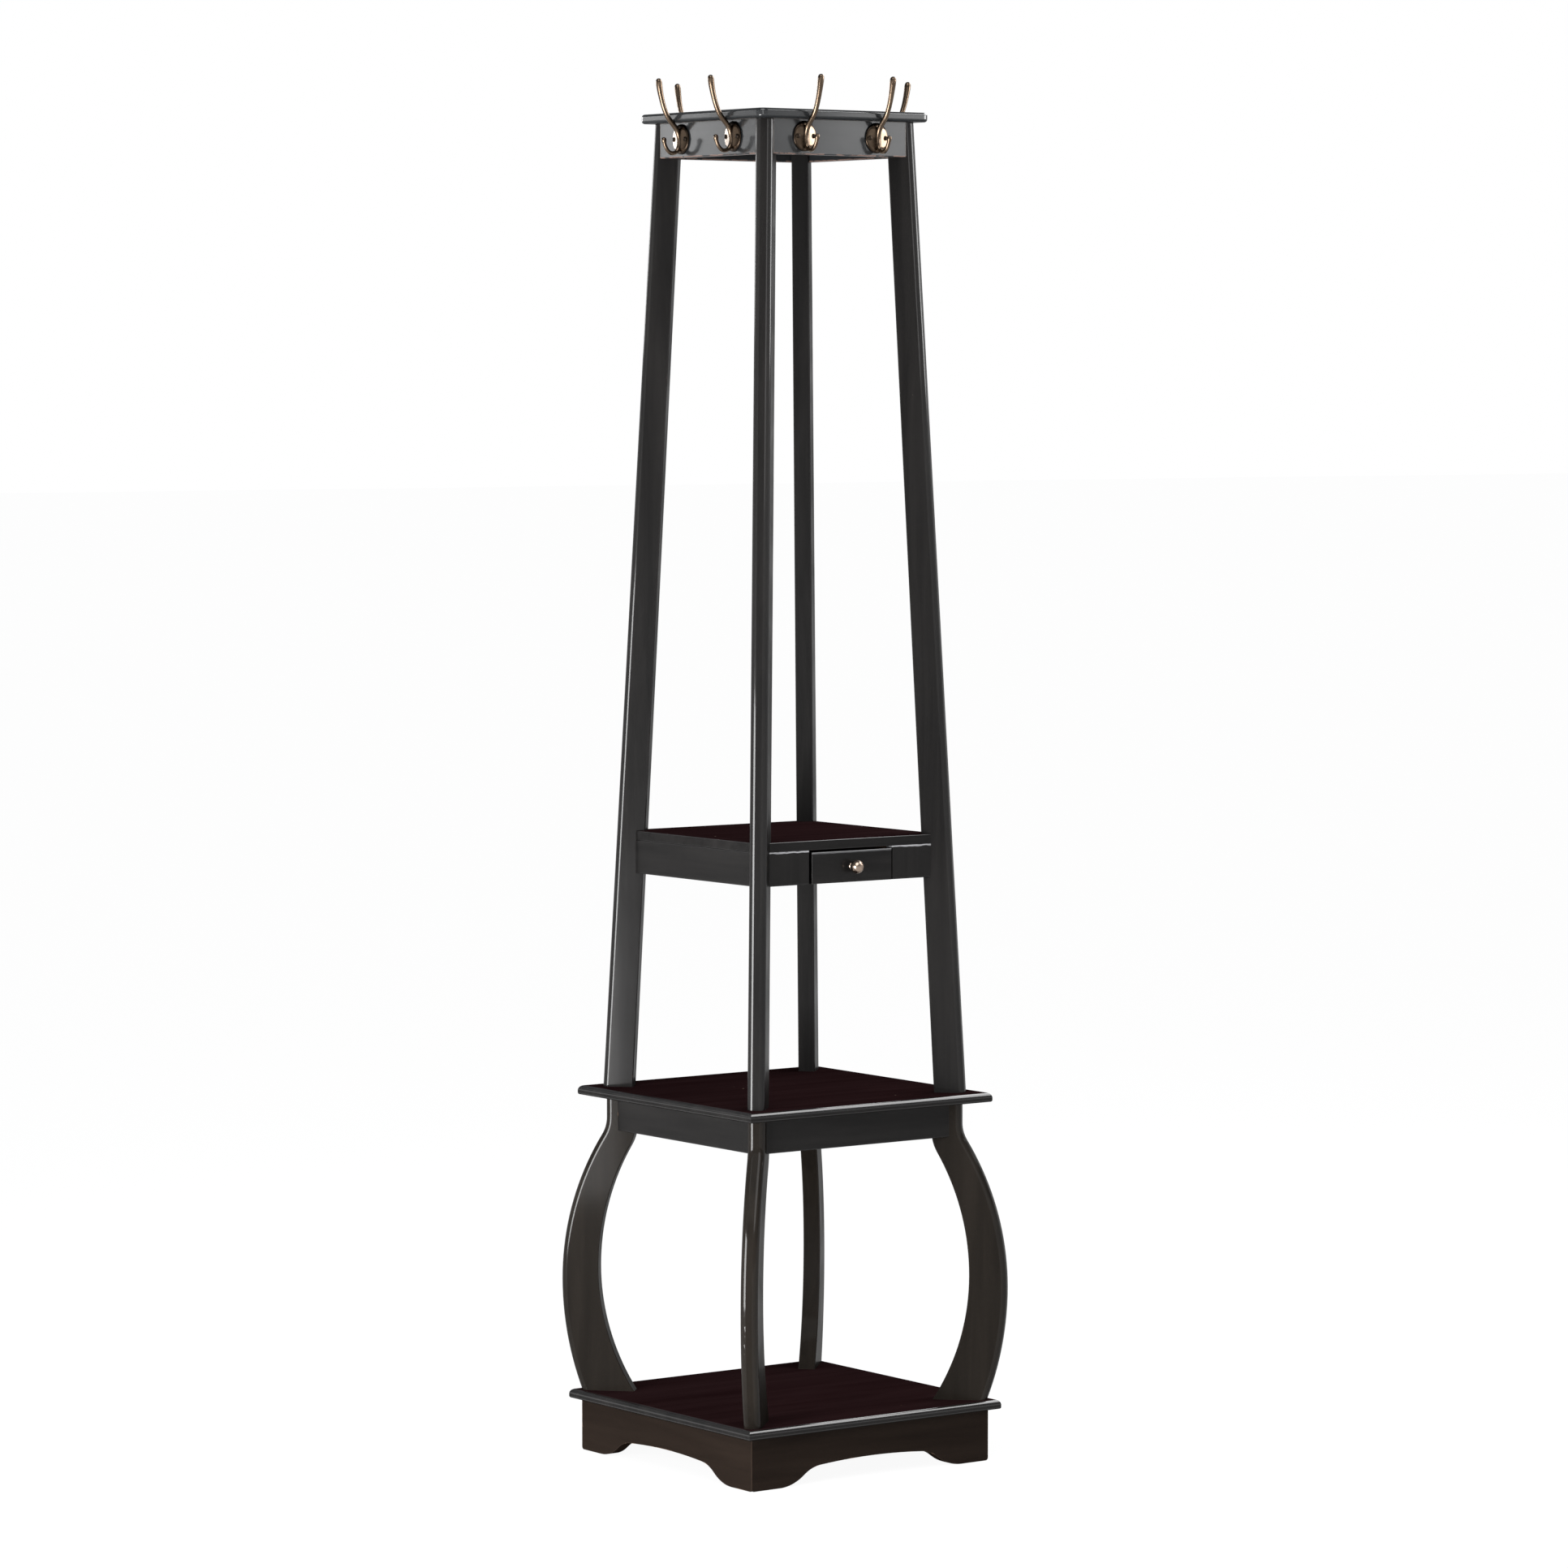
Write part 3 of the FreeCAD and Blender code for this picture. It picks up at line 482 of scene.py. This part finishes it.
def metalFinish(name, values):
    finish, tree, shader = newFinish(name)
    worn = placeGroup(tree, edgeWear, metalSurface["wear"])
    hands = placeGroup(tree, handling, metalSurface["hands"])
    mottle = noise(tree, objectPlace(tree), metalSurface["mottleScale"], distortion=0.4)
    colour = mixColour(tree, hands["Cloud"], values["dull"], values["bright"])
    tarnish = mathNode(tree, "MULTIPLY", remap(tree, mottle, *metalSurface["tarnishSpan"]),
                       values["patina"])
    colour = mixColour(tree, tarnish, colour, values["dark"])
    if name == "hookBronze":        # only the hooks carry this attribute
        # the hooks' patina attribute darkens towards the dark bronze: painted shade round the rim
        # and beside the bar, together with old patina
        shade = addNode(tree, "ShaderNodeAttribute", attribute_name="patina").outputs["Fac"]
        colour = mixColour(tree, shade, colour, values["dark"])
    polished = [min(1.0, metalSurface["rubbedGain"] * c) for c in values["bright"][:3]] + [1]
    colour = mixColour(tree, mathNode(tree, "MULTIPLY", worn["Wear"], values["rubbed"]), colour,
                       polished)
    tree.links.new(colour, shader.inputs["Base Color"])
    low, high = values["sheen"]
    rough = mathNode(tree, "ADD", remap(tree, mottle, *metalSurface["mottleSpan"], low, high),
                     mathNode(tree, "MULTIPLY", tarnish, metalSurface["tarnishRough"]))
    tree.links.new(rough, shader.inputs["Roughness"])
    shader.inputs["Metallic"].default_value = 1.0
    height = mathNode(tree, "ADD", mottle, hands["Ripple"])
    relief = addNode(tree, "ShaderNodeBump", {"Strength": values["bump"], "Height": height,
                                              "Distance": metalSurface["reliefDepth"]})
    tree.links.new(relief.outputs[0], shader.inputs["Normal"])
    return finish


# each wood finish, with the axes its grain runs along
woods = {
    "lacquer": (lacquer, "xy"), "post": (postLacquer, "z"), "leg": (legLacquer, "z"),
    "board": (boardLacquer, "x"), "plinth": (plinthLacquer, "xy"), "cap": (capLacquer, "xy"),
    "capBoard": (capBoardLacquer, "x"), "stile": (stileLacquer, "z"),
    "drawerFront": (frontLacquer, "x"), "stained": (stained, "xy"),
}
finishes = {}
for woodName, (values, axes) in woods.items():
    for axis in axes:
        finishes[woodName + "_" + axis] = woodFinish(woodName + "_" + axis, values, axis)
for metalName, values in (("hookBronze", bronze), ("screwBronze", darkBronze),
                          ("knobBronze", knobBronze), ("boltSteel", steel)):
    finishes[metalName] = metalFinish(metalName, values)
print("finishes built:", len(finishes))


def finishFor(name):
    if name == "cap_board":
        return "capBoard_x"
    if name.endswith("_board"):
        return "board_x"
    if name.endswith("corner_blocks") or name in ("drawer_back", "drawer_bottom"):
        return "stained_x"
    if name.startswith(("drawer_runner", "drawer_side")):
        return "stained_y"
    if name.endswith(("bolts", "studs")) or name in ("block_screws", "drawer_knob_screw"):
        return "boltSteel"
    if name.startswith("lower_leg"):
        return "leg_z"
    if name.startswith("upper_post"):
        return "post_z"
    if name.startswith("drawer_stile"):
        return "stile_z"
    if name == "drawer_front":
        return "drawerFront_x"
    kind = "cap" if name.startswith("cap_") else "plinth" if name.startswith("base_") else "lacquer"
    return kind + ("_y" if name.endswith(("_left", "_right")) else "_x")


def dress(piece, finishName):
    piece.data.materials.clear()
    piece.data.materials.append(finishes[finishName])


for name, node in nodes.items():
    dress(node, finishFor(name))
print("wood and hidden fasteners dressed")


# coat hooks

coatHook = {
    "plate": [(0.0170, 0.0), (0.0196, 0.0002), (0.0200, 0.0010), (0.0199, 0.0020),
              (0.0188, 0.0030), (0.0165, 0.0040), (0.0130, 0.0052), (0.0090, 0.0061),
              (0.0045, 0.0067), (0.0010, 0.0069)],
    "oval": (0.90, 1.0),        # plate width and height against its round
    # the plate falls away on both sides of the bar as two flats: (at the middle, at the side)
    "flats": (0.0060, 0.0022), "flatHalf": 0.0180,
    # one bar, from the low bud round the foot of the plate and up to the high end:
    # (out from the apron, up from the plate's centre, radius)
    "bar": [(0.0289, 0.0022, 0.0006), (0.0289, 0.0018, 0.0022), (0.0288, 0.0003, 0.0034),
            (0.0286, -0.0018, 0.0036), (0.0282, -0.0038, 0.0031), (0.0276, -0.0058, 0.0026),
            (0.0263, -0.0096, 0.0025), (0.0238, -0.0140, 0.0027), (0.0203, -0.0173, 0.0028),
            (0.0160, -0.0189, 0.0029), (0.0115, -0.0184, 0.0030), (0.0076, -0.0160, 0.0030),
            (0.0052, -0.0120, 0.0030), (0.0042, -0.0060, 0.0030), (0.0042, 0.0005, 0.0031),
            (0.0056, 0.0080, 0.0034), (0.0094, 0.0145, 0.0036), (0.0150, 0.0202, 0.0037),
            (0.0212, 0.0262, 0.0036), (0.0257, 0.0340, 0.0035), (0.0296, 0.0435, 0.0035),
            (0.0328, 0.0540, 0.0037), (0.0350, 0.0640, 0.0041), (0.0362, 0.0712, 0.0045),
            (0.0368, 0.0754, 0.0043), (0.0371, 0.0778, 0.0031), (0.0372, 0.0788, 0.0010)],
    "plateSides": 40, "prongSides": 14, "tipTop": 0.0789, "screwOffset": 0.0125,
    # patina and painted shade: where it lies, over how much it fades, and how far out from the
    # apron it goes
    "rimDark": (0.0168, 0.0020, 0.0048), "barDark": (0.0040, 0.0020, 0.0066),
    "rimShade": 0.85, "barShade": 0.9, "mostShade": 0.9,
}


def hookBar(name, stations):
    def heading(i):
        outBefore, upBefore = stations[max(i - 1, 0)][:2]
        outAfter, upAfter = stations[min(i + 1, len(stations) - 1)][:2]
        return math.atan2(outAfter - outBefore, upAfter - upBefore)

    out, up, radius = stations[0]
    facing = heading(0)
    piece = ringStart(name, radius, coatHook["prongSides"], (0, -out, up), facing)
    for i in range(1, len(stations)):
        newOut, newUp, newRadius = stations[i]
        turn = (heading(i) - facing + math.pi) % (2 * math.pi) - math.pi
        facing = heading(i)
        ringNext((0, out - newOut, newUp - up), newRadius / radius, (0, -newOut, newUp), -turn)
        out, up, radius = newOut, newUp, newRadius
    ringClose(piece, smoothing["drawn"])
    return piece


def flattenSides(mesh):
    middle, side = coatHook["flats"]
    for vertex in mesh.vertices:
        slope = middle - (middle - side) * abs(vertex.co.x) / coatHook["flatHalf"]
        vertex.co.y = max(vertex.co.y, -slope)


def patinaAndPaintedShade(mesh):
    # painted shade together with old patina darkens round the plate's rim and along both sides of
    # the bar
    shade = mesh.attributes.new("patina", "FLOAT", "POINT")
    wide, tall = coatHook["oval"]
    rimFrom, rimFade, rimOut = coatHook["rimDark"]
    barFrom, barFade, barOut = coatHook["barDark"]
    for i, vertex in enumerate(mesh.vertices):
        x, y, z = vertex.co
        away = math.hypot(x / wide, z / tall)
        rim = min(max((away - rimFrom) / rimFade, 0.0), 1.0) if y > -rimOut else 0.0
        beside = max(1.0 - abs(abs(x) - barFrom) / barFade, 0.0) if y > -barOut else 0.0
        shade.data[i].value = min(coatHook["mostShade"],
                                  rim * coatHook["rimShade"] + beside * coatHook["barShade"])


def makeHook():
    plate = turnedPiece("hookPlate", coatHook["plate"], coatHook["plateSides"])
    wide, tall = coatHook["oval"]
    plate.data.transform(Matrix.Diagonal((wide, 1, tall, 1)) @ quarterTurn)
    flattenSides(plate.data)
    hook = joined([plate, hookBar("hookBar", coatHook["bar"])], "hookPattern")
    patinaAndPaintedShade(hook.data)
    dress(hook, "hookBronze")
    return hook


hookScrew = {
    "head": [(0.0014, 0.0), (0.0032, 0.0), (0.0033, 0.0004), (0.0030, 0.0010),
             (0.0020, 0.0015), (0.0008, 0.0017)],
    "sides": 20, "slotWidth": 0.0008, "slotDepth": 0.0009, "slotLength": 0.012,
    "seat": 0.0034,             # out from the apron
    "spins": (35, -20),         # how the slots of the two screws lie, in degrees
}


def makeHookScrew():
    head = turnedPiece("screwPattern", hookScrew["head"], hookScrew["sides"])
    headTop = hookScrew["head"][-1][1]
    deselectAll()
    bpy.ops.mesh.primitive_cube_add(size=1.0, location=(0, 0, headTop))
    slot = bpy.context.object
    slot.scale = (hookScrew["slotWidth"], hookScrew["slotLength"], 2 * hookScrew["slotDepth"])
    bpy.ops.object.transform_apply(location=True, rotation=True, scale=True)
    makeActive(head)
    cut = head.modifiers.new("slot", "BOOLEAN")
    cut.operation, cut.object, cut.solver = "DIFFERENCE", slot, "EXACT"
    bpy.ops.object.modifier_apply(modifier=cut.name)
    bpy.data.objects.remove(slot)
    bpy.ops.object.shade_smooth_by_angle(angle=math.radians(smoothing["turned"]))
    dress(head, "screwBronze")
    return head


hookPattern = makeHook()
screwPattern = makeHookScrew()
standBody = "frame"
sideTurns = {"front": 0, "right": 90, "back": 180, "left": 270}
screwPieces = []
for side, degrees in sideTurns.items():
    turn = Matrix.Rotation(math.radians(degrees), 4, "Z")
    for name in sorted(n for n in nodes if n.startswith("coat_hook_" + side)):
        low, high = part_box(name)
        middle = turn.inverted() @ ((Vector(low) + Vector(high)) / 2)
        faceY = max((turn.inverted() @ Vector(corner)).y for corner in (low, high))
        place = Vector((middle.x, faceY, high[2] - coatHook["tipTop"]))
        hook = placedCopy(hookPattern, name.replace("coat_", ""), turn @ Matrix.Translation(place))
        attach(hook, standBody)
        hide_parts(name)
        for hand, spin in zip((-1, 1), hookScrew["spins"]):
            across = hand * coatHook["screwOffset"]
            seat = Matrix.Translation(place + Vector((across, -hookScrew["seat"], 0)))
            lean = quarterTurn @ Matrix.Rotation(math.radians(spin), 4, "Z")
            screwPieces.append(placedCopy(screwPattern, "screw", turn @ seat @ lean))
screws = joined(screwPieces, "hookScrewHeads")
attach(screws, standBody)
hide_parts("hook_screws")
for pattern in (hookPattern, screwPattern):
    bpy.data.objects.remove(pattern)
print("coat hooks placed, with", len(screwPieces), "screws")


# drawer knob

drawerKnob = {
    "profile": [(0.0048, 0.0), (0.0055, 0.0001), (0.0055, 0.0012), (0.0044, 0.0022),
                (0.0037, 0.0028), (0.0040, 0.0034), (0.0062, 0.0043), (0.0082, 0.0065),
                (0.0091, 0.0096), (0.0091, 0.0118), (0.0083, 0.0148), (0.0066, 0.0174),
                (0.0040, 0.0190), (0.0010, 0.0196)],
    "sides": 32,
}


def makeKnob():
    knob = turnedPiece("drawerKnob", drawerKnob["profile"], drawerKnob["sides"])
    low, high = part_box("drawer_knob")
    place = Vector(((low[0] + high[0]) / 2, high[1], (low[2] + high[2]) / 2))
    knob.data.transform(Matrix.Translation(place) @ quarterTurn)
    dress(knob, "knobBronze")
    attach(knob, "drawer")
    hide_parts("drawer_knob")


makeKnob()
print("drawer knob placed")


# studio

studio = {
    "floorHalf": 60.0, "floorColour": (0.93, 0.93, 0.93, 1), "whiteness": 0.94,
    "sun": 2.3, "sunAngle": 50.0, "sunTurn": (38, -14, -20),
    "skyLow": (1.0, 1.0, 1.0, 1), "skyHigh": (0.20, 0.205, 0.215, 1),
    "skySpan": (0.13, 0.22),            # between which heights of view the sky darkens
    "widestSpread": 179,                # in degrees, where a lamp's strength is worked out
}


def shownToLens(tree):
    path = addNode(tree, "ShaderNodeLightPath").outputs
    seen = mathNode(tree, "MAXIMUM", path["Is Camera Ray"], path["Is Glossy Ray"])
    return mathNode(tree, "MAXIMUM", seen, path["Is Transmission Ray"])


def makeFloor():
    deselectAll()
    bpy.ops.mesh.primitive_plane_add(size=2 * studio["floorHalf"], location=(0, 0, 0))
    floor = bpy.context.object
    floor.name = "studioFloor"
    finish = bpy.data.materials.new("floorPaint")
    finish.use_nodes = True
    tree = finish.node_tree
    tree.nodes.remove(tree.nodes["Principled BSDF"])
    matt = addNode(tree, "ShaderNodeBsdfDiffuse", {"Color": studio["floorColour"]})
    white = addNode(tree, "ShaderNodeEmission", {"Color": (1, 1, 1, 1), "Strength": 1.0})
    share = mathNode(tree, "MULTIPLY", shownToLens(tree), studio["whiteness"])
    both = addNode(tree, "ShaderNodeMixShader", {0: share, 1: matt.outputs[0], 2: white.outputs[0]})
    tree.links.new(both.outputs[0], tree.nodes["Material Output"].inputs["Surface"])
    floor.data.materials.append(finish)


def makeSky():
    world = bpy.data.worlds.new("studioSky")
    bpy.context.scene.world = world
    world.use_nodes = True
    tree = world.node_tree
    place = addNode(tree, "ShaderNodeTexCoord").outputs["Generated"]
    height = addNode(tree, "ShaderNodeSeparateXYZ", {0: place}).outputs["Z"]
    rise = remap(tree, height, *studio["skySpan"])
    colour = mixColour(tree, rise, studio["skyLow"], studio["skyHigh"])
    tree.links.new(colour, tree.nodes["Background"].inputs["Color"])
    tree.nodes["Background"].inputs["Strength"].default_value = 1.0


# (name, azimuth from the drawer side towards the left, distance, height, aimed at height,
#  width, tall, brightness of its face, spread in degrees)
lamps = [
    ("capRight", -43.8, 3.2, 2.12, 2.0, 1.0, 0.7, 5.8, 50.0),
    ("capLeft", 150.9, 3.2, 2.12, 2.0, 1.0, 0.7, 4.9, 50.0),
    ("hookRight", -60.0, 3.2, 1.95, 1.85, 1.3, 0.7, 24.0, 50.0),
    ("hookLeft", 169.5, 3.2, 1.95, 1.95, 0.9, 0.7, 15.0, 50.0),
    ("panelLeft", 73.0, 2.3, 0.58, 0.58, 1.0, 1.1, 33.0, 180.0),
    ("panelHigh", 34.0, 2.3, 1.92, 1.75, 0.5, 0.9, 4.5, 60.0),
    ("edgeLight", -78.0, 2.2, 2.9, 0.4, 3.4, 1.3, 7.5, 180.0),
]


def makeLamps():
    sun = bpy.data.lights.new("softSun", "SUN")
    sun.energy, sun.angle = studio["sun"], math.radians(studio["sunAngle"])
    lamp = bpy.data.objects.new("softSun", sun)
    lamp.rotation_euler = [math.radians(part) for part in studio["sunTurn"]]
    bpy.context.scene.collection.objects.link(lamp)
    for name, azimuth, distance, height, aimed, width, tall, brightness, spread in lamps:
        light = bpy.data.lights.new(name, "AREA")
        light.shape, light.size, light.size_y = "RECTANGLE", width, tall
        light.spread = math.radians(spread)
        half = math.radians(min(spread, studio["widestSpread"])) / 2
        focus = math.tan(half) / (math.tan(half) - half)    # a grid gathers the light forwards
        light.energy = brightness * math.pi * width * tall / focus
        lamp = bpy.data.objects.new(name, light)
        angle = math.radians(azimuth)
        lamp.location = (-distance * math.sin(angle), -distance * math.cos(angle), height)
        aim = Vector((0, 0, aimed)) - lamp.location
        lamp.rotation_euler = aim.to_track_quat("-Z", "Y").to_euler()
        lamp.visible_camera = False
        bpy.context.scene.collection.objects.link(lamp)


view = {"azimuth": 36.25, "distance": 7.907, "height": 1.4382, "pitch": 3.89,
        "lens": 136.84, "sensor": 36.0, "farthest": 200.0}


def makeCamera():
    lens = bpy.data.cameras.new("camera")
    lens.sensor_width, lens.lens = view["sensor"], view["lens"]
    lens.clip_end = view["farthest"]
    camera = bpy.data.objects.new("camera", lens)
    angle = math.radians(view["azimuth"])
    camera.location = (-view["distance"] * math.sin(angle), -view["distance"] * math.cos(angle),
                       view["height"])
    camera.rotation_euler = (math.radians(90 - view["pitch"]), 0, -angle)
    bpy.context.scene.collection.objects.link(camera)
    bpy.context.scene.camera = camera


makeFloor()
makeSky()
makeLamps()
makeCamera()
bpy.context.scene.view_settings.view_transform = "Standard"
print("studio set")
